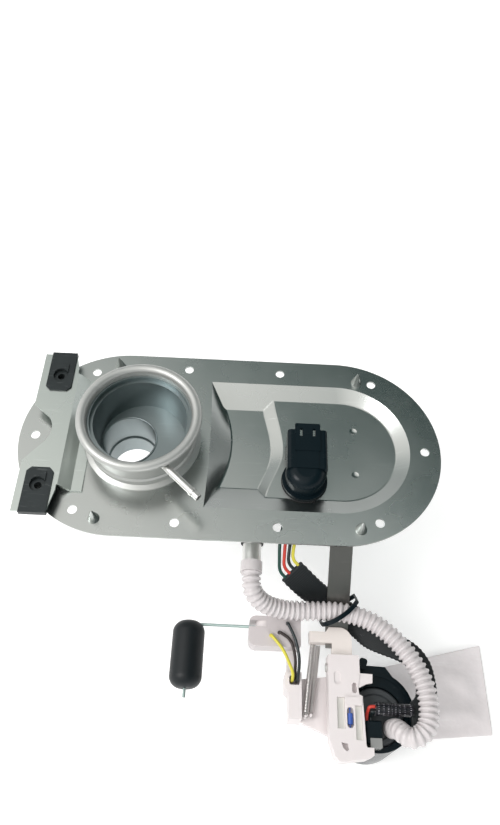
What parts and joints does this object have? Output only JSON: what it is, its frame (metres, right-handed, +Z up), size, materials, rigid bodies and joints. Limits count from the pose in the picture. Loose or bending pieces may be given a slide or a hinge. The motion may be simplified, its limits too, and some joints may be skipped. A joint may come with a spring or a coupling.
{
  "type": "fuel pump module",
  "caption": "Saddle-tank fuel pump module: pressed cover plate with filler neck, connector and a hung carrier with pump, filter, sock and swinging float.",
  "frame": {"origin": "centre of the cover plate's screw pattern, on the flange's underside, where it meets the tank", "axes": "+Z up through the plate, away from the tank; +X along the plate from the filler neck to the connector; the pump hangs on the -Y side"},
  "size_m": [0.3507, 0.2668, 0.164],
  "materials": {
    "plate_steel": "satin pressed sheet",
    "neck_steel": "satin spun sheet",
    "pipe_steel": "satin tube",
    "black_steel": "black oxide",
    "black_plastic": "satin moulded",
    "white_plastic": "satin moulded",
    "cream_plastic": "satin moulded",
    "grey_plastic": "translucent moulded",
    "blue_plastic": "gloss",
    "spring_steel": "drawn wire",
    "tinned_brass": "tin plated",
    "motor_steel": "zinc plated",
    "magnet_ferrite": "sintered",
    "black_rubber": "moulded",
    "float_foam": "closed-cell nitrile foam",
    "filter_paper": "pleated paper",
    "sock_mesh": "fine woven nylon",
    "white_hose": "corrugated nylon",
    "braid_black": "braided sleeve",
    "lead_green": "PVC insulation",
    "lead_red": "PVC insulation",
    "lead_black": "PVC insulation",
    "lead_yellow": "PVC insulation",
    "lead_brown": "PVC insulation"
  },
  "bodies": {
    "root": {"top_plate": "plate_steel", "filler_neck": "neck_steel", "neck_cup": "neck_steel", "filler_tube": "neck_steel", "vent_tube": "pipe_steel", "console_bracket": "plate_steel", "spring_nut_far": "black_steel", "spring_nut_near": "black_steel", "connector_seal": "black_rubber", "connector_housing": "black_plastic", "connector_terminals": "tinned_brass", "outlet_tube": "pipe_steel", "outlet_ring": "black_rubber", "hanger_strap": "plate_steel", "carrier_arm": "cream_plastic", "hinge_pin": "pipe_steel", "spring_left": "spring_steel", "spring_right": "spring_steel", "fuel_hose": "white_hose", "hose_cuff": "white_plastic", "cable_tie": "black_plastic", "wire_green": "lead_green", "wire_red": "lead_red", "wire_black": "lead_black", "wire_yellow": "lead_yellow", "loom_sleeve": "braid_black"},
    "carrier": {"carrier_frame": "white_plastic", "contact_strips": "tinned_brass", "thermistor": "blue_plastic", "filter_housing": "black_plastic", "filter_element": "filter_paper", "filter_cap": "black_plastic", "pump_shell": "motor_steel", "pump_end_cap": "black_plastic", "pump_inlet_cap": "black_plastic", "pump_magnets": "magnet_ferrite", "pump_brushes": "magnet_ferrite", "pump_plug": "black_plastic", "plug_clip": "grey_plastic", "strainer_collar": "white_plastic", "strainer_sock": "sock_mesh", "sender_case": "white_plastic", "resistor_card": "cream_plastic", "braided_loom": "braid_black", "sender_wire_yellow": "lead_yellow", "sender_wire_black": "lead_black", "sender_wire_brown": "lead_brown", "pump_wire_red": "lead_red", "pump_wire_black": "lead_black"},
    "float_swing_body": {"wiper_hub": "white_plastic", "float_arm": "pipe_steel", "float": "float_foam"},
    "pump_rotor": {"pump_armature": "motor_steel", "pump_impeller": "black_plastic"}
  },
  "joints": [
    {"name": "carrier_pivot", "type": "hinge", "parent": "root", "child": "carrier", "pos_m": [0.0819, -0.136, -0.057], "axis": [-1, 0, 0], "range_deg": [0, 12], "stiffness_Nm_per_rad": 0.1, "springref_deg": -28.65, "deforming": ["spring_left", "spring_right", "fuel_hose", "loom_sleeve"]},
    {"name": "float_swing", "type": "hinge", "parent": "carrier", "child": "float_swing_body", "pos_m": [0.0295, -0.111, -0.057], "axis": [0, 1, 0], "range_deg": [0, 70]},
    {"name": "pump_spin", "type": "hinge", "parent": "carrier", "child": "pump_rotor", "pos_m": [0.1038, -0.1644, -0.09], "axis": [0, 0, 1], "continuous": true}
  ]
}
